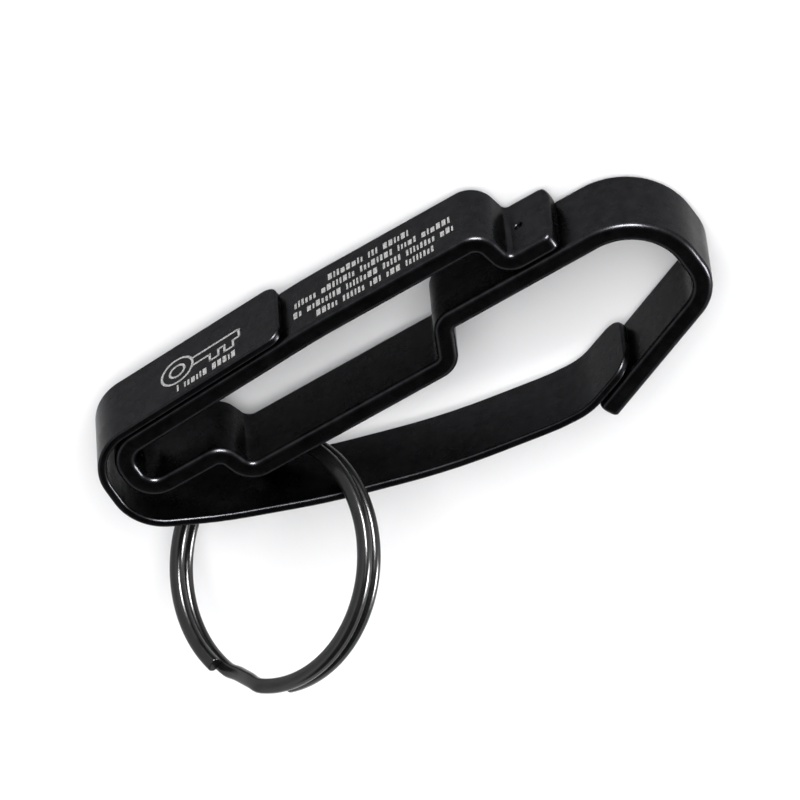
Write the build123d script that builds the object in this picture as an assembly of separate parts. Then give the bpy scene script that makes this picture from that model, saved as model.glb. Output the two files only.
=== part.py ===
"""Belt key holder: two bent spring-steel strips, one thick and one thin, with a split ring.

Lies on its side: X along the holder, Y across it, Z along the strip width.
Origin at the centre of the footprint, level with the lowest point of the ring.
"""
import os
from math import acos, atan2, cos, degrees, pi, radians, sin, sqrt, tan

from build123d import *

# ---- driving dimensions, mm -------------------------------------------------------------
STRIP_W = 12.0            # both strips
THICK = 2.8               # frame strip
THIN = 1.2                # belt gate strip
EDGE_R = 0.8              # tumbled edges of the frame strip
EDGE_R_THIN = 0.4
X0, Y0 = 32.076, -12.125   # moves the footprint of the whole assembly onto the origin
Z0 = 3.781                # the holder stands this far above the lowest point of the ring

RAIL_Y = 6.82             # centreline of the upper rail
RAIL_LOW_Y = -7.73        # centreline of the lower rail
UNDER_TAB_Y = -1.84       # centreline of the strip under the tab
TAB_Y = 1.10              # centreline of the tab
TAB_END_X = 63.04
NOSE_TOP = (-3.51, 5.01)  # corners of the nose loop's centreline
NOSE_LOW = (-3.87, -2.69)
BELT_TOP = (75.75, UNDER_TAB_Y)
BELT_LOW = (75.72, -17.08)
LEG_END = (53.76, -26.42)

PLATE_END_X = 25.0
LOOP_TOP_X = -7.14
PLATE_GAP = 0.25          # held off by the weld nuggets
TIP_KNEE = (52.20, -24.45)
TIP_END = (60.52, -21.133)

CORNER_R_TAB = 1.6
CORNER_R_PLATE = 2.2
CORNER_R_LEG = 1.0
CORNER_R_TIP = 3.4
DIMPLE_R, DIMPLE_X = 0.55, 58.2
NUGGET_R = 1.9
NUGGET_X = (9.5, 17.5)
FLEX_GAP = 0.05           # cut between a moving length of strip and the fixed length
KEY_GATE_CUT_X = 27.0

RING_OUT_R, RING_IN_R = 17.74, 15.68
RING_COIL = 1.66          # height of one coil
RING_GAP = 0.06           # between the two coils
RING_C = (4.249, -21.466, 11.761)
RING_AXIS = (-0.3108, 0.7771, 0.5472)
RING_X = (0.788, -0.1112, 0.6056)
JOGGLE = (-118.0, -88.0)  # where the wire runs straight from one coil to the other, degrees
END_NEAR, END_FAR = -119.6, -77.0   # the two cut ends of the wire

# ---- strip centrelines: corner points and bend radii --------------------------------------
FRAME = [
    (TAB_END_X, TAB_Y, 0), (55.36, TAB_Y, 2.2), (54.42, RAIL_Y, 2.4), (28.82, RAIL_Y, 65.0),
    (*NOSE_TOP, 3.35), (*NOSE_LOW, 3.3), (8.03, NOSE_LOW[1], 2.05), (9.41, RAIL_LOW_Y, 2.8),
    (40.69, RAIL_LOW_Y, 2.4), (43.46, UNDER_TAB_Y, 2.15), (*BELT_TOP, 9.1),
    (*BELT_LOW, 5.96), (*LEG_END, 0),
]
rise = (RAIL_Y - NOSE_TOP[1]) / (28.82 - NOSE_TOP[0])   # slope of the rail towards the nose
lift = (THICK / 2 + THIN / 2 + PLATE_GAP) * sqrt(1 + rise * rise)
rail_y = lambda x: RAIL_Y - (28.82 - x) * rise
plate_y = lambda x: rail_y(x) + lift
GATE = [
    (PLATE_END_X, plate_y(PLATE_END_X), 0), (LOOP_TOP_X, plate_y(LOOP_TOP_X), 6.72),
    (-7.73, -6.06, 7.37), (2.77, -11.67, 65.0), (15.69, -16.93, 97.0), (31.92, -21.86, 97.0),
    (47.71, -24.34, 32.0), (*TIP_KNEE, 9.7), (*TIP_END, 0),
]


def legs(points):
    """Straight and arc pieces of a filleted centreline, as (kind, data) in order."""
    out, here = [], Vector(points[0][0], points[0][1])
    for (ax, ay, _), (bx, by, r), (cx, cy, _) in zip(points, points[1:], points[2:]):
        a, b, c = Vector(ax, ay), Vector(bx, by), Vector(cx, cy)
        u, v = (a - b).normalized(), (c - b).normalized()
        half = acos(max(-1.0, min(1.0, u.dot(v)))) / 2
        start, end = b + u * (r / tan(half)), b + v * (r / tan(half))
        centre = b + (u + v).normalized() * (r / sin(half))
        turn = 1 if u.cross(v).Z < 0 else -1
        out.append(("line", here, start))
        out.append(("arc", start, end, centre, r, turn))
        here = end
    out.append(("line", here, Vector(points[-1][0], points[-1][1])))
    return out


def side(pieces, h):
    """One face of the strip: the centreline moved h to its left."""
    edges = []
    for piece in pieces:
        if piece[0] == "line":
            _, p, q = piece
            d = (q - p).normalized()
            n = Vector(-d.Y, d.X) * h
            edges.append(("line", p + n, q + n))
        else:
            _, p, q, c, r, turn = piece
            k = (r - turn * h) / r
            mid = c + ((p + q) * 0.5 - c).normalized() * (r * k)
            edges.append(("arc", c + (p - c) * k, mid, c + (q - c) * k))
    return edges


def strip(points, t):
    """Bent strip of thickness t and the full width, standing on Z = 0."""
    pieces = legs(points)
    left, right = side(pieces, t / 2), side(pieces, -t / 2)
    wire = [Line(left[0][1], right[0][1])]
    for face in (left, right):
        for e in face:
            wire.append(Line(e[1], e[2]) if e[0] == "line" else ThreePointArc(*e[1:]))
    wire.append(Line(left[-1][-1], right[-1][-1]))
    face = make_face(Wire(wire))
    return extrude(Pos(X0 * -1, Y0 * -1, 0) * face, amount=STRIP_W, dir=(0, 0, 1))


def end_corners(x, y, angle, r, reach=8.0):
    """Two cutters that round the corners of a strip end facing `angle` degrees."""
    with BuildPart() as cut:
        for z, s in ((0, 1), (STRIP_W, -1)):
            with BuildSketch(Plane.XZ):
                with BuildLine():
                    Polyline((0.6, z - s * 0.6), (0.6, z + s * r), (0, z + s * r))
                    ThreePointArc((0, z + s * r), (-r + r * cos(pi / 4), z + s * (r - r * sin(pi / 4))), (-r, z))
                    Polyline((-r, z), (-r, z - s * 0.6), (0.6, z - s * 0.6))
                make_face()
            extrude(amount=reach / 2, both=True)
    return Pos(x - X0, y - Y0, 0) * Rot(0, 0, angle) * cut.part


def edge_round(solid, r):
    """Rounds the long side edges, which lie on Z = 0 and Z = STRIP_W."""
    for radius in (r, r * 0.7, r * 0.5):
        try:
            edges = [e for e in solid.edges()
                     if all(abs(v.Z - z) < 1e-4 for z in [round(e.center().Z / STRIP_W) * STRIP_W]
                            for v in [e @ 0, e @ 0.5, e @ 1])]
            done = solid.fillet(radius, edges)
            if done.is_valid:
                return done
        except Exception:
            continue
    return solid


def slab(x0, x1, y0, y1):
    return Pos((x0 + x1) / 2 - X0, (y0 + y1) / 2 - Y0, STRIP_W / 2) * Box(x1 - x0, y1 - y0, 3 * STRIP_W)


# ---- frame strip and key gate --------------------------------------------------------------
whole = strip(FRAME, THICK)
whole = whole - end_corners(TAB_END_X, TAB_Y, 0, CORNER_R_TAB, reach=THICK + 0.1)
leg_a = degrees(atan2(BELT_LOW[1] - LEG_END[1], BELT_LOW[0] - LEG_END[0]))
whole = whole - end_corners(*LEG_END, 180 + leg_a, CORNER_R_LEG)
whole = whole - Pos(DIMPLE_X - X0, TAB_Y + THICK / 2 - Y0, STRIP_W / 2) * Rot(90, 0, 0) * Cylinder(DIMPLE_R, 3.2)
moving_zone = slab(KEY_GATE_CUT_X, 66.0, TAB_Y - THICK / 2 - 0.05, 10.0)
fixed_zone_cut = slab(KEY_GATE_CUT_X - FLEX_GAP, 66.0, TAB_Y - THICK / 2 - 0.05, 10.0)
key_gate = (whole & moving_zone).solids()[0]
frame_strip = sorted((whole - fixed_zone_cut).solids(), key=lambda s: s.volume)[-1]

# ---- gate strip: anchor plate with the loop's upper half, and the swinging gate ---------------
thin = strip(GATE, THIN)
tip_a = degrees(atan2(TIP_END[1] - TIP_KNEE[1], TIP_END[0] - TIP_KNEE[0]))
plate_a = degrees(atan2(rise, 1))
thin = thin - end_corners(PLATE_END_X, plate_y(PLATE_END_X), plate_a, CORNER_R_PLATE)
thin = thin - end_corners(*TIP_END, tip_a, CORNER_R_TIP)
GATE_CUT_Y = -0.4
gate_blade = (thin & slab(-14, 80, -34, GATE_CUT_Y)).solids()[0]
anchor_plate = (thin & slab(-14, 80, GATE_CUT_Y + FLEX_GAP, 20)).solids()[0]

# ---- weld nuggets between the plate and the rail ---------------------------------------------
nuggets = []
for nx in NUGGET_X:
    at = Vector(nx, rail_y(nx)) + Vector(-rise, 1).normalized() * (THICK / 2 + PLATE_GAP / 2)
    nuggets.append(Pos(at.X - X0, at.Y - Y0, STRIP_W / 2) * Rot(0, 0, plate_a) * Rot(90, 0, 0)
                   * Cylinder(NUGGET_R, PLATE_GAP))

# ---- split ring: one wire, two coils ----------------------------------------------------------
z_axis = Vector(*RING_AXIS).normalized()
x_axis = (Vector(*RING_X) - z_axis * Vector(*RING_X).dot(z_axis)).normalized()
ring_plane = Plane(origin=(RING_C[0] - X0, RING_C[1] - Y0, RING_C[2]), x_dir=x_axis, z_dir=z_axis)
mid_r, wire_w = (RING_OUT_R + RING_IN_R) / 2, RING_OUT_R - RING_IN_R
level = (RING_COIL + RING_GAP) / 2
a0, a1 = radians(JOGGLE[0]), radians(JOGGLE[1])


def coil_section(angle, z, r=mid_r):
    at = Plane(origin=(r * cos(angle), r * sin(angle), z),
               x_dir=(cos(angle), sin(angle), 0), z_dir=(-sin(angle), cos(angle), 0))
    return at * RectangleRounded(wire_w, RING_COIL, 0.6)


near = revolve(coil_section(a1, level), Axis.Z, 360 + END_NEAR - degrees(a1))
far = revolve(coil_section(radians(END_FAR), -level), Axis.Z, 360 + degrees(a0) - END_FAR)
steps = 8
half_step = (a1 - a0) / 2
sections = []
for k in range(steps + 1):
    s = k / steps
    blend = s * s * (3 - 2 * s)
    off = (2 * s - 1) * half_step
    sections.append(coil_section(a0 + (a1 - a0) * s, -level + 2 * level * blend,
                                 mid_r * cos(half_step) / cos(off)))
parts = [near, far]
for p, q in zip(sections, sections[1:]):
    parts.append(loft([p, q]))
ring = parts[0]
for p in parts[1:]:
    ring = ring + p
ring = ring_plane * ring

# ---- rounding and export -------------------------------------------------------------------------
frame_strip = edge_round(frame_strip, EDGE_R)
key_gate = edge_round(key_gate, EDGE_R)
gate_blade = edge_round(gate_blade, EDGE_R_THIN)
anchor_plate = edge_round(anchor_plate, EDGE_R_THIN)

NODES = {
    "frame_strip": frame_strip,
    "key_gate": key_gate,
    "gate_blade": gate_blade,
    "anchor_plate": anchor_plate,
    "weld_nuggets": Compound(children=nuggets),
    "split_ring": ring,
}
os.makedirs("parts", exist_ok=True)
low, high = [1e9] * 3, [-1e9] * 3
for name, shape in NODES.items():
    shape = Pos(0, 0, Z0) * shape
    export_step(shape, f"parts/{name}.step")
    box = shape.bounding_box()
    low = [min(a, b) for a, b in zip(low, box.min)]
    high = [max(a, b) for a, b in zip(high, box.max)]
    print(name, len(shape.solids()), "solid(s)", round(shape.volume, 1), "mm3")
print("overall", [round(v, 3) for v in low], [round(v, 3) for v in high])
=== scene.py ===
"""Belt key holder of bent black spring steel with a split ring, lying on a pale floor in soft studio light.

The steel is swept along the same centrelines as the CAD part, as two bent strips.
Profile coordinates are millimetres: u along the holder, v across it, z along the strip width.
"""

import random
from math import acos, atan2, copysign, cos, pi, radians, sin, sqrt, tan

import bmesh
import bpy
from mathutils import Matrix, Vector


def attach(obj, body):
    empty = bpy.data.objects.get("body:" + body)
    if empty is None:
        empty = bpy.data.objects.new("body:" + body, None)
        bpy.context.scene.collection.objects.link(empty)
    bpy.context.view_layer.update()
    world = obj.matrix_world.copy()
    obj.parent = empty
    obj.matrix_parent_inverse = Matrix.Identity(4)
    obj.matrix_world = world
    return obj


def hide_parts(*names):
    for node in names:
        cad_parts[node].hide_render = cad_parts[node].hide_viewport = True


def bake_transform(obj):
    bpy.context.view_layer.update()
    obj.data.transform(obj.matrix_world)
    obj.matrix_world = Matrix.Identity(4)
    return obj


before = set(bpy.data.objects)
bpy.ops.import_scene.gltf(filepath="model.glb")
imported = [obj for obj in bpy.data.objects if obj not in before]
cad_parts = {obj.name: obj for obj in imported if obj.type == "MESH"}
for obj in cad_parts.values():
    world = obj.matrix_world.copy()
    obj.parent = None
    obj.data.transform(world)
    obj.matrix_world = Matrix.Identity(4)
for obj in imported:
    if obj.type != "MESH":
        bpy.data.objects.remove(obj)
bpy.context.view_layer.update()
MM = 0.001

# ---- the holder, as in the CAD part -------------------------------------------------------------
U0, V0, Z0 = 32.076, -12.125, 3.781  # the row frame's origin is at u = U0, v = V0 and z = -Z0
STRIP_W = 12.0
MID_Z = STRIP_W / 2
THICK, THIN = 2.8, 1.2
EDGE_THICK, EDGE_THIN = 0.82, 0.42   # radii of the strips' long edges
PLATE_GAP = 0.25                     # between the rail and the plate that lies on it

# Corners of the thick strip's centreline: u, v and the bend's radius.
TAB_V, RAIL_V, LOWER_V, LOW_RAIL_V, UNDER_TAB_V = 1.10, 6.82, -2.69, -7.73, -1.84
TAB_END = (63.04, TAB_V)
RAIL_BEND_U = 28.82
NOSE_TOP = (-3.51, 5.01)
FRAME = [
    (*TAB_END, 0), (55.36, TAB_V, 2.2), (54.42, RAIL_V, 2.4), (RAIL_BEND_U, RAIL_V, 65.0),
    (*NOSE_TOP, 3.35), (-3.87, LOWER_V, 3.3), (8.03, LOWER_V, 2.05), (9.41, LOW_RAIL_V, 2.8),
    (40.69, LOW_RAIL_V, 2.4), (43.46, UNDER_TAB_V, 2.15), (75.75, UNDER_TAB_V, 9.1),
    (75.72, -17.08, 5.96), (53.76, -26.42, 0),
]

# The plate follows the slope of the rail, LIFT above its centreline.
RISE = (RAIL_V - NOSE_TOP[1]) / (RAIL_BEND_U - NOSE_TOP[0])
LIFT = (THICK / 2 + THIN / 2 + PLATE_GAP) * sqrt(1 + RISE * RISE)


def plate_v(u):
    return RAIL_V - (RAIL_BEND_U - u) * RISE + LIFT


# Corners of the thin strip's centreline.
PLATE_END, LOOP_TOP = 25.0, -7.14
GATE = [
    (PLATE_END, plate_v(PLATE_END), 0), (LOOP_TOP, plate_v(LOOP_TOP), 6.72), (-7.73, -6.06, 7.37),
    (2.77, -11.67, 65.0), (15.69, -16.93, 97.0), (31.92, -21.86, 97.0), (47.71, -24.34, 32.0),
    (52.20, -24.45, 9.7), (60.52, -21.133, 0),
]
CORNER_TAB, CORNER_PLATE, CORNER_LEG, CORNER_TIP = 1.6, 2.2, 1.0, 3.4
SEAM_U = 21.0                        # where the two lengths of the thick strip meet, under the plate
SEAM_S = (20.0, 55.0)                # and the stretch of the strip to look for it on

RING_C = Vector((4.249, -21.466, 11.761))
RING_N = Vector((-0.3108, 0.7771, 0.5472)).normalized()
RING_X = Vector((0.788, -0.1112, 0.6056))
RING_R, WIRE_W, WIRE_H = 16.71, 2.06, 1.66
RING_LEVEL = 0.86                    # each turn's distance from the ring's middle plane
RING_ENDS = (-77.0, 600.4)           # one wire, nearly two turns, degrees
RING_JOGGLE = (242.0, 272.0)         # an almost straight run from one turn to the next
JOGGLE_EASE = 0.3                    # share of that run over which it leaves or joins the circle
WIRE_END_R = 0.16                    # rounding of the wire's cut ends

# The pierced spot in the tab, and its section: radius, and height above the tab's outer face.
DIMPLE_U, DIMPLE_R = 58.2, 0.55
DIMPLE_SECTION = ((DIMPLE_R + 0.32, 0.2), (DIMPLE_R + 0.26, 0.02), (DIMPLE_R + 0.08, -0.12),
                  (DIMPLE_R, -0.3), (DIMPLE_R, -1.5), (DIMPLE_R * 0.3, -1.6))

# ---- how finely the shapes are cut -----------------------------------------------------------------
STRAIGHT_STEP, BEND_STEP = 1.2, 2.5  # about the longest lengths of a sweep, in mm
BEND_TURN = 4.0                      # and about the most that one turns on a bend, in degrees
CLOSEST = 1e-4                       # stations of a sweep nearer than this are one
CORNER_MOST = 0.98                   # largest corner radius as a share of half a side
HALVINGS = 50                        # in looking for a place on a line
RING_LENGTHS = 268                   # of the ring's wire
DIMPLE_TURN = 12                     # degrees to a side of the dimple


def to_row(p):
    """Profile millimetres to metres in the row frame."""
    return Vector(((p[0] - U0) * MM, (p[1] - V0) * MM, (p[2] + Z0) * MM))


# ---- centrelines -----------------------------------------------------------------------------------
class Line:
    """A filleted centreline that can be read at any distance s from its start."""

    def __init__(self, corners):
        self.runs, here = [], Vector(corners[0][:2])
        for a, b, c in zip(corners, corners[1:], corners[2:]):
            a, r, b, c = Vector(a[:2]), b[2], Vector(b[:2]), Vector(c[:2])
            p, q = (a - b).normalized(), (c - b).normalized()
            half = acos(max(-1.0, min(1.0, p.dot(q)))) / 2
            start, centre = b + p * (r / tan(half)), b + (p + q).normalized() * (r / sin(half))
            sense = 1 if p.x * q.y - p.y * q.x < 0 else -1
            self.runs.append(((start - here).length, here, (start - here).normalized(), None, 0, 0))
            a0 = atan2(*reversed(start - centre))
            self.runs.append(((pi - 2 * half) * r, None, None, centre, r, (a0, sense)))
            here = b + q * (r / tan(half))
        last = Vector(corners[-1][:2])
        self.runs.append(((last - here).length, here, (last - here).normalized(), None, 0, 0))
        self.length = sum(run[0] for run in self.runs)

    def at(self, s):
        """(point, direction) at distance s."""
        for n, (length, here, d, centre, r, turn) in enumerate(self.runs):
            if s <= length or n == len(self.runs) - 1:
                if centre is None:
                    return here + d * s, d
                a = turn[0] + turn[1] * s / r
                return (centre + Vector((cos(a), sin(a))) * r,
                        Vector((-sin(a), cos(a))) * turn[1])
            s -= length

    def stops(self):
        """Distances at which a sweep along the line is cut."""
        out, s = [0.0], 0.0
        for length, _, _, centre, r, _ in self.runs:
            if centre is None:
                lengths = length / STRAIGHT_STEP
            else:
                lengths = max(length / r / radians(BEND_TURN), length / BEND_STEP)
            n = max(1, round(lengths))
            out += [s + length * k / n for k in range(1, n + 1)]
            s += length
        return out

    def where_u(self, u, near, far):
        """Distance from the start at which the line reaches u, between two distances."""
        lo, hi = near, far
        sign = 1 if self.at(hi)[0].x > self.at(lo)[0].x else -1
        for _ in range(HALVINGS):
            mid = (lo + hi) / 2
            if (self.at(mid)[0].x - u) * sign < 0:
                lo = mid
            else:
                hi = mid
        return (lo + hi) / 2


# ---- meshes ----------------------------------------------------------------------------------------
def rounded(a, b, r, n=5):
    """Outline of a rectangle 2a by 2b with rounded corners."""
    r = min(r, a * CORNER_MOST, b * CORNER_MOST)
    out = []
    for sa, sb, start in ((1, 1, 0), (-1, 1, 90), (-1, -1, 180), (1, -1, 270)):
        for k in range(n + 1):
            t = radians(start + 90 * k / n)
            out.append((sa * (a - r) + r * cos(t), sb * (b - r) + r * sin(t)))
    return out


def crowned(a, b, n=40, power=2.6):
    """Outline of a wire 2a by 2b with crowned faces and round corners."""
    out = []
    for k in range(n):
        c, s = cos(2 * pi * k / n), sin(2 * pi * k / n)
        out.append((copysign(a * abs(c) ** (2 / power), c), copysign(b * abs(s) ** (2 / power), s)))
    return out


def walls(bm, low, high):
    """Quads between two loops of vertices."""
    for k in range(len(low)):
        m = (k + 1) % len(low)
        bm.faces.new((low[k], low[m], high[m], high[k]))


def placed(name, bm):
    """The bmesh as an object in the scene, with its faces turned outwards."""
    bmesh.ops.recalc_face_normals(bm, faces=bm.faces)
    mesh = bpy.data.meshes.new(name)
    bm.to_mesh(mesh)
    bm.free()
    obj = bpy.data.objects.new(name, mesh)
    bpy.context.scene.collection.objects.link(obj)
    return obj


def skin(name, rings, caps=(True, True)):
    """A tube of quads through the rings of points, which are in profile millimetres."""
    bm = bmesh.new()
    loops = [[bm.verts.new(to_row(p)) for p in ring] for ring in rings]
    for a, b in zip(loops, loops[1:]):
        walls(bm, a, b)
    if caps[0]:
        bm.faces.new(list(reversed(loops[0])))
    if caps[1]:
        bm.faces.new(loops[-1])
    obj = placed(name, bm)
    for face in obj.data.polygons:
        face.use_smooth = True
    return obj


def even_normals(obj):
    m = obj.modifiers.new("even normals", "WEIGHTED_NORMAL")
    m.mode, m.weight, m.keep_sharp = "FACE_AREA", 90, False


def bent_strip(name, line, t, edge, span, corners):
    """The length `span` of a strip. A corner radius rounds that end; None leaves it open for the next."""
    s0, s1 = span
    stops = {s0, s1} | {s for s in line.stops() if s0 < s < s1}
    for end, r in zip(span, corners):
        if r:
            inward = 1 if end == s0 else -1
            for reach in (r, edge):
                stops |= {end + inward * reach * (1 - cos(radians(a))) for a in range(0, 91, 9)}
    rings, last = [], None
    for s in sorted(stops):
        if last is not None and s - last < CLOSEST:
            continue
        last = s
        a, b = t / 2, STRIP_W / 2
        for end, r in zip(span, corners):
            d = abs(s - end)
            if r and d < r:
                b -= r - sqrt(r * r - (r - d) ** 2)
            if r and d < edge:
                inset = edge - sqrt(edge * edge - (edge - d) ** 2)
                a, b = a - inset, b - inset
        p, d = line.at(s)
        n = Vector((-d.y, d.x))
        rings.append([(p.x + n.x * x, p.y + n.y * x, MID_Z + y) for x, y in rounded(a, b, edge)])
    return skin(name, rings, [bool(c) for c in corners])


# ---- materials -------------------------------------------------------------------------------------
def grey(level):
    return (level,) * 3


def material(name, **sockets):
    m = bpy.data.materials.new(name)
    m.use_nodes = True
    tree = m.node_tree
    shader = tree.nodes["Principled BSDF"]
    for key, value in sockets.items():
        shader.inputs[key.replace("_", " ")].default_value = value
    return m, tree, shader


def noise(tree, scale, detail=3.0, rough=0.5):
    at = tree.nodes.new("ShaderNodeTexCoord")
    tex = tree.nodes.new("ShaderNodeTexNoise")
    tex.inputs["Scale"].default_value = scale
    tex.inputs["Detail"].default_value = detail
    tex.inputs["Roughness"].default_value = rough
    tree.links.new(at.outputs["Object"], tex.inputs["Vector"])
    return tex.outputs["Fac"]


def ramp(tree, value, *stops):
    """Colour ramp of (position, colour) stops."""
    node = tree.nodes.new("ShaderNodeValToRGB")
    elements = node.color_ramp.elements
    while len(elements) < len(stops):
        elements.new(0.5)
    for element, (position, colour) in zip(elements, stops):
        element.position = position
        element.color = (*colour, 1)
    tree.links.new(value, node.inputs["Fac"])
    return node.outputs["Color"]


def vary(tree, shader, socket, value, low, high):
    """Drive one of the shader's sockets from a value, between two (position, colour) stops."""
    tree.links.new(ramp(tree, value, low, high), shader.inputs[socket])


def bump(tree, shader, *layers):
    """Layers of (height, strength, depth in metres), finest last."""
    last = None
    for height, strength, depth in layers:
        node = tree.nodes.new("ShaderNodeBump")
        node.inputs["Strength"].default_value = strength
        node.inputs["Distance"].default_value = depth
        tree.links.new(height, node.inputs["Height"])
        if last:
            tree.links.new(last, node.inputs["Normal"])
        last = node.outputs["Normal"]
    tree.links.new(last, shader.inputs["Normal"])


def black_coat():
    """Thin satin black coat over tumbled steel: faint mottle, fine grain, slow waviness."""
    m, tree, shader = material("black_coat", Metallic=1.0, Specular_Tint=(0.6, 0.6, 0.6, 1))
    vary(tree, shader, "Base Color", noise(tree, 700, 4, 0.6),
         (0.3, (0.010, 0.010, 0.0112)), (0.7, (0.018, 0.018, 0.0195)))
    vary(tree, shader, "Roughness", noise(tree, 260, 5, 0.65), (0.25, grey(0.22)), (0.75, grey(0.33)))
    bump(tree, shader, (noise(tree, 120, 2), 0.25, 0.00012), (noise(tree, 3800, 3, 0.6), 0.35, 0.00001))
    return m


def gloss_coat():
    """Glossier black on the split ring."""
    m, tree, shader = material("ring_gloss", Specular_IOR_Level=0.3)
    vary(tree, shader, "Base Color", noise(tree, 500, 3), (0.3, grey(0.003)), (0.7, grey(0.006)))
    vary(tree, shader, "Roughness", noise(tree, 900, 4), (0.3, grey(0.17)), (0.7, grey(0.26)))
    bump(tree, shader, (noise(tree, 160, 2), 0.2, 0.00008))
    return m


def etched():
    """Pale laser marking: the coat burnt off in fine dots."""
    m, tree, shader = material("etched", Metallic=0.0)
    vary(tree, shader, "Base Color", noise(tree, 5200, 2, 0.7),
         (0.35, grey(0.10)), (0.62, (0.34, 0.34, 0.33)))
    vary(tree, shader, "Roughness", noise(tree, 3000), (0.3, grey(0.45)), (0.7, grey(0.7)))
    return m


def bare_steel():
    """Bare steel of the weld spots between the rail and the plate."""
    m, tree, shader = material("bare_steel", Metallic=1.0)
    vary(tree, shader, "Base Color", noise(tree, 2500),
         (0.3, (0.30, 0.30, 0.31)), (0.7, (0.46, 0.46, 0.47)))
    vary(tree, shader, "Roughness", noise(tree, 1800), (0.3, grey(0.4)), (0.7, grey(0.6)))
    return m


COAT, GLOSS, ETCH, BARE = black_coat(), gloss_coat(), etched(), bare_steel()


def dress(obj, mat):
    obj.data.materials.clear()
    obj.data.materials.append(mat)
    return obj


# ---- the strips: fixed length and key gate of the thick one, and the thin one ---------------------------
thick, thin = Line(FRAME), Line(GATE)
seam = thick.where_u(SEAM_U, *SEAM_S)
frame_piece = bent_strip("frame_steel", thick, THICK, EDGE_THICK, (seam, thick.length), (None, CORNER_LEG))
gate_piece = bent_strip("key_gate_steel", thick, THICK, EDGE_THICK, (0.0, seam), (CORNER_TAB, None))
blade_piece = bent_strip("belt_gate_steel", thin, THIN, EDGE_THIN, (0.0, thin.length),
                         (CORNER_PLATE, CORNER_TIP))


def dimple(obj, open_end):
    """Small pierced dimple near the end of the tab, with a rolled-in rim.

    The strip's open end is closed for the cut only.
    """
    p, d = thick.at(open_end)
    at, along = to_row((p.x, p.y, 0.0)), Vector((d.x, d.y, 0.0))
    bm = bmesh.new()
    bm.from_mesh(obj.data)
    bmesh.ops.edgeloop_fill(bm, edges=[e for e in bm.edges if e.is_boundary])
    bmesh.ops.recalc_face_normals(bm, faces=bm.faces)
    bm.to_mesh(obj.data)
    bm.free()
    top = TAB_V + THICK / 2
    rings = []
    for r, height in DIMPLE_SECTION:
        rings.append([(DIMPLE_U + r * cos(radians(a)), top + height, MID_Z + r * sin(radians(a)))
                      for a in range(0, 360, DIMPLE_TURN)])
    cutter = skin("dimple_cutter", rings)
    m = obj.modifiers.new("dimple", "BOOLEAN")
    m.operation, m.solver, m.object = "DIFFERENCE", "EXACT", cutter
    bpy.context.view_layer.update()
    made = bpy.data.meshes.new_from_object(obj.evaluated_get(bpy.context.evaluated_depsgraph_get()))
    obj.modifiers.clear()
    bm = bmesh.new()
    bm.from_mesh(made)
    caps = [f for f in bm.faces if all(abs((v.co - at).dot(along)) < 1e-6 for v in f.verts)]
    bmesh.ops.delete(bm, geom=caps, context="FACES_ONLY")
    bm.to_mesh(made)
    bm.free()
    obj.data = made
    bpy.data.objects.remove(cutter)


dimple(gate_piece, seam)

# ---- split ring ------------------------------------------------------------------------------------
ring_x = (RING_X - RING_N * RING_X.dot(RING_N)).normalized()
ring_y = RING_N.cross(ring_x)


def chord_dip(a):
    """How far the wire runs inside its circle where it steps across, almost straight, to the other turn."""
    j0, j1 = RING_JOGGLE
    s = (a - j0) / (j1 - j0)
    if not 0 < s < 1:
        return 0.0
    half = radians((j1 - j0) / 2)
    w = min(1.0, min(s, 1 - s) / JOGGLE_EASE)
    return RING_R * (1 - cos(half) / cos(half * (2 * s - 1))) * w * w * (3 - 2 * w)


def ring_wire():
    rings, (first, last), (j0, j1) = [], RING_ENDS, RING_JOGGLE
    edge = WIRE_END_R
    reach = edge / RING_R * 180 / pi
    stops = [first + (last - first) * k / RING_LENGTHS for k in range(RING_LENGTHS + 1)]
    for f in (0.0, 0.12, 0.3, 0.6, 1.0):
        stops += [first + reach * f, last - reach * f]
    for a in sorted(set(stops)):
        s = max(0.0, min(1.0, (a - j0) / (j1 - j0)))
        h = RING_LEVEL * (2 * s * s * (3 - 2 * s) - 1)
        d = min(a - first, last - a) / reach * edge
        inset = edge - sqrt(max(0.0, edge * edge - (edge - d) ** 2)) if d < edge else 0.0
        t = radians(a)
        out = ring_x * cos(t) + ring_y * sin(t)
        r = RING_R - chord_dip(a)
        rings.append([RING_C + out * (r + x) + RING_N * (h + y)
                      for x, y in crowned(WIRE_W / 2 - inset, WIRE_H / 2 - inset)])
    return skin("split_ring_wire", rings)


ring_piece = ring_wire()

# ---- etched marks: a plain key pictogram and rows of short strokes, from u, z and sizes in mm -----------
MARK_SUNK, MARK_PROUD = 0.01, 0.012
GROUPS, STROKE_WIDTHS, STROKE_DROPS = (3, 5, 6, 8), (0.26, 0.34, 0.6), (0, 0, 0.25)
STROKE_GAP, GROUP_GAP, ROW_SPARE = 0.27, 0.65, 0.4
ROWS, ROW_H = ((31.6, 44.9, 2.75), (26.4, 51.2, 4.95), (26.2, 51.6, 7.15), (29.6, 48.4, 9.35)), 1.35
CAPTION = (17.9, 8.2, 9.3, 10.7)     # the row over the pictogram: both ends, and its lower and upper edges
LINE = 0.36                          # width of the pictogram's lines
BOW, BOW_R, EYE_R = (8.6, 6.1), 2.35, 1.0
TIP_U, NECK_U = 18.9, BOW[0] + 2.45
TEETH = ((16.3, 17.7), (13.9, 15.3))
SHAFT_LOW, SHAFT_HIGH, TEETH_HIGH = 5.1, 6.75, 8.5


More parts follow.
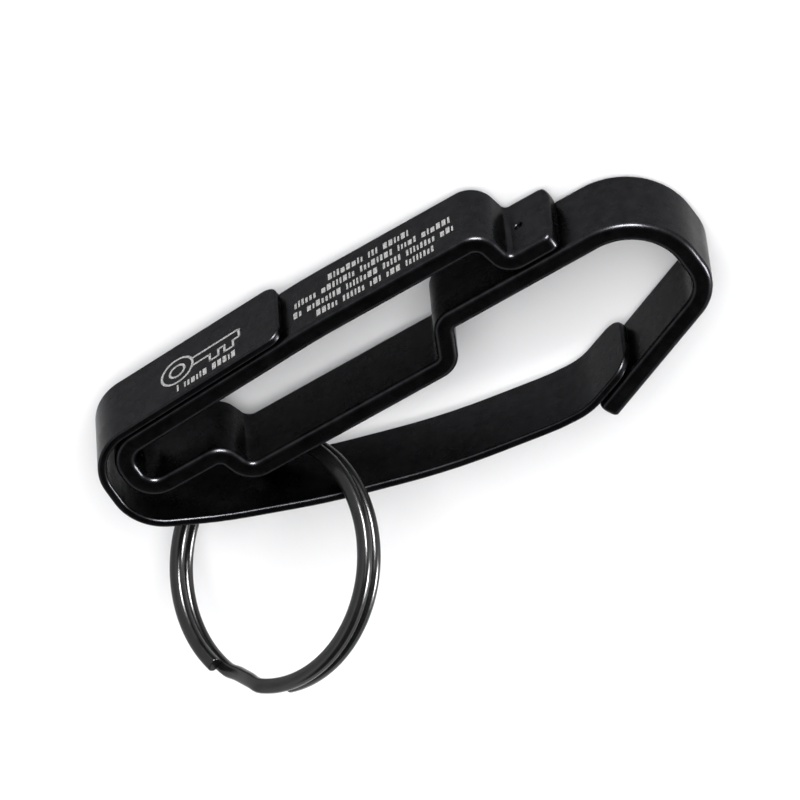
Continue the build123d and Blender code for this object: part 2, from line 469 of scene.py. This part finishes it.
def marks(name, line, shapes, t):
    """Thin flat shapes on the outer face of a strip. Each is a convex outline of (s, z) points.

    Travel along both lines runs towards -u here, so the outer face is on the right-hand side.
    """
    bm = bmesh.new()
    for outline in shapes:
        low, high = [], []
        for s, z in outline:
            p, d = line.at(s)
            outwards = Vector((d.y, -d.x))
            for store, lift in ((low, -MARK_SUNK), (high, MARK_PROUD)):
                q = p + outwards * (t / 2 + lift)
                store.append(bm.verts.new(to_row((q.x, q.y, z))))
        bm.faces.new(high)
        bm.faces.new(list(reversed(low)))
        walls(bm, low, high)
    return dress(placed(name, bm), ETCH)


def bar(s0, s1, z0, z1, cut=1.5):
    """A flat bar, cut into short lengths so that it follows the strip."""
    n = max(1, round(abs(s1 - s0) / cut))
    edge = [s0 + (s1 - s0) * k / n for k in range(n + 1)]
    return [[(a, z0), (b, z0), (b, z1), (a, z1)] for a, b in zip(edge, edge[1:])]


def circle(cs, cz, r0, n=28):
    """A circular line with an inner radius r0."""
    r1 = r0 + LINE
    out = []
    for k in range(n):
        p, q = radians(360 * k / n), radians(360 * (k + 1) / n)
        out.append([(cs + r * cos(a), cz + r * sin(a)) for r, a in ((r0, p), (r1, p), (r1, q), (r0, q))])
    return out


def strokes(s0, s1, z0, z1, rng):
    """One row of short upright strokes in groups, standing for small print."""
    out, s = [], s0
    while s < s1 - ROW_SPARE:
        for _ in range(rng.choice(GROUPS)):
            wide = rng.choice(STROKE_WIDTHS)
            if s + wide > s1:
                break
            low = z0 + rng.choice(STROKE_DROPS)
            out.append([(s, low), (s + wide, low), (s + wide, z1), (s, z1)])
            s += wide + STROKE_GAP
        s += GROUP_GAP
    return out


def rail_s(u):
    return thick.where_u(u, 12.0, 60.0)


def plate_s(u):
    return thin.where_u(u, 0.0, 26.0)


def key():
    """Bow, eye, and the outline of a shaft with two square teeth."""
    centre, tip, neck = plate_s(BOW[0]), plate_s(TIP_U), plate_s(NECK_U)
    out = circle(centre, BOW[1], BOW_R) + circle(centre, BOW[1], EYE_R)
    out += bar(tip, neck, SHAFT_LOW, SHAFT_LOW + LINE)
    (left_a, right_a), (left_b, right_b) = [[plate_s(u) for u in tooth] for tooth in TEETH]
    for start, end in ((tip, right_a), (left_a, right_b), (left_b, neck)):
        out += bar(start, end, SHAFT_HIGH, SHAFT_HIGH + LINE)
    out += bar(tip, tip + LINE, SHAFT_LOW, SHAFT_HIGH + LINE)
    for left, right in ((left_a, right_a), (left_b, right_b)):
        for s in (left, right):
            out += bar(s - LINE / 2, s + LINE / 2, SHAFT_HIGH, TEETH_HIGH)
        out += bar(right - LINE / 2, left + LINE / 2, TEETH_HIGH - LINE, TEETH_HIGH)
    return out


rng = random.Random(7)
rows = []
for u0, u1, z in ROWS:
    rows += strokes(rail_s(u1), rail_s(u0), z, z + ROW_H, rng)
pictogram = key() + strokes(plate_s(CAPTION[0]), plate_s(CAPTION[1]), *CAPTION[2:], rng)
row_marks = marks("etched_rows", thick, rows, THICK)
plate_marks = marks("etched_pictogram", thin, pictogram, THIN)

# ---- bodies ----------------------------------------------------------------------------------------
for piece in (frame_piece, gate_piece, blade_piece):
    dress(piece, COAT)
    even_normals(piece)
dress(ring_piece, GLOSS)
even_normals(ring_piece)
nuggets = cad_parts["weld_nuggets"]
dress(nuggets, BARE)

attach(frame_piece, "holder")
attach(plate_marks, "holder")
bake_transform(gate_piece)
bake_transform(row_marks)
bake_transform(blade_piece)
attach(ring_piece, "ring")
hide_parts("frame_strip")
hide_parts("key_gate")
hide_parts("gate_blade", "anchor_plate")
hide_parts("split_ring")

# ---- floor -----------------------------------------------------------------------------------------
# The holder really leans on its ring: the floor runs from under the ring to the far end of the belt loop,
# through these two (u, z) points.
REST_RING, REST_LOOP = (0.9, -3.62), (83.0, -0.02)
FLOOR_HALF = 4.0                     # metres
slope = (REST_LOOP[1] - REST_RING[1]) / (REST_LOOP[0] - REST_RING[0])
corners = []
for x, y in ((-FLOOR_HALF, -FLOOR_HALF), (FLOOR_HALF, -FLOOR_HALF), (FLOOR_HALF, FLOOR_HALF),
             (-FLOOR_HALF, FLOOR_HALF)):
    u = x / MM + U0
    corners.append((x, y, (REST_RING[1] + slope * (u - REST_RING[0]) + Z0) * MM))
floor_mesh = bpy.data.meshes.new("floor")
floor_mesh.from_pydata(corners, [], [(0, 1, 2, 3)])
floor = bpy.data.objects.new("floor", floor_mesh)
bpy.context.scene.collection.objects.link(floor)
floor_mesh.materials.append(material("floor_paper", Roughness=0.9, Base_Color=(0.86, 0.86, 0.87, 1),
                                     Specular_IOR_Level=0.1)[0])

# ---- camera ----------------------------------------------------------------------------------------
RIGHT = Vector((0.84296, -0.53516, 0.05497))
UP = Vector((0.46624, 0.67576, -0.57094))
BACK = RIGHT.cross(UP).normalized()
AIM = to_row((31.243, -10.789, 8.439))
DISTANCE, FIELD = 1.2, 0.10638       # metres to the aim point, and metres across the picture there
SENSOR = 36.0
cam_data = bpy.data.cameras.new("camera")
cam_data.sensor_width = SENSOR
cam_data.lens = SENSOR * DISTANCE / FIELD
cam_data.clip_start, cam_data.clip_end = 0.05, 20.0
camera = bpy.data.objects.new("camera", cam_data)
turn = Matrix((RIGHT, UP, BACK)).transposed().to_4x4()
camera.matrix_world = Matrix.Translation(AIM + BACK * DISTANCE) @ turn
bpy.context.scene.collection.objects.link(camera)
bpy.context.scene.camera = camera

# ---- light -----------------------------------------------------------------------------------------
# The room: brightest from about 20 to 30 degrees up, dimmer at the horizon, and nearly black overhead.
# Each stop is the upward part of the direction, and the level there.
SKY = ((0.0, 0.34), (0.2, 0.38), (0.3, 0.62), (0.5, 0.62), (0.7, 0.03), (1.0, 0.02))
SKY_STRENGTH = 3.0
world = bpy.data.worlds.new("studio")
bpy.context.scene.world = world
world.use_nodes = True
tree = world.node_tree
direction = tree.nodes.new("ShaderNodeTexCoord")
upward = tree.nodes.new("ShaderNodeVectorMath")
upward.operation = "DOT_PRODUCT"
tree.links.new(direction.outputs["Generated"], upward.inputs[0])
upward.inputs[1].default_value = (0.0, 0.0, 1.0)
sky = ramp(tree, upward.outputs["Value"], *[(height, grey(level)) for height, level in SKY])
tree.links.new(sky, tree.nodes["Background"].inputs["Color"])
tree.nodes["Background"].inputs["Strength"].default_value = SKY_STRENGTH


def softbox(name, towards, distance, size, radiance, shows):
    """A soft rectangular light. `shows` says whether it lights surfaces and whether it mirrors in them."""
    data = bpy.data.lights.new(name, "AREA")
    data.shape, data.size, data.size_y = "RECTANGLE", size[0], size[1]
    data.energy = radiance * pi * size[0] * size[1]
    obj = bpy.data.objects.new(name, data)
    d = Vector(towards).normalized()
    obj.location = AIM + d * distance
    obj.rotation_mode = "QUATERNION"
    obj.rotation_quaternion = d.to_track_quat("Z", "Y")
    obj.visible_diffuse, obj.visible_glossy = shows
    bpy.context.scene.collection.objects.link(obj)


softbox("fill", BACK, 1.0, (0.9, 0.9), 5.0, (True, False))
softbox("window", (0.48, 0.66, 0.50), 0.9, (0.42, 0.34), 120.0, (False, True))
softbox("side", (0.74, -0.60, 0.30), 0.9, (0.26, 0.26), 110.0, (False, True))

view = bpy.context.scene.view_settings
view.view_transform = "Standard"
view.look = "None"
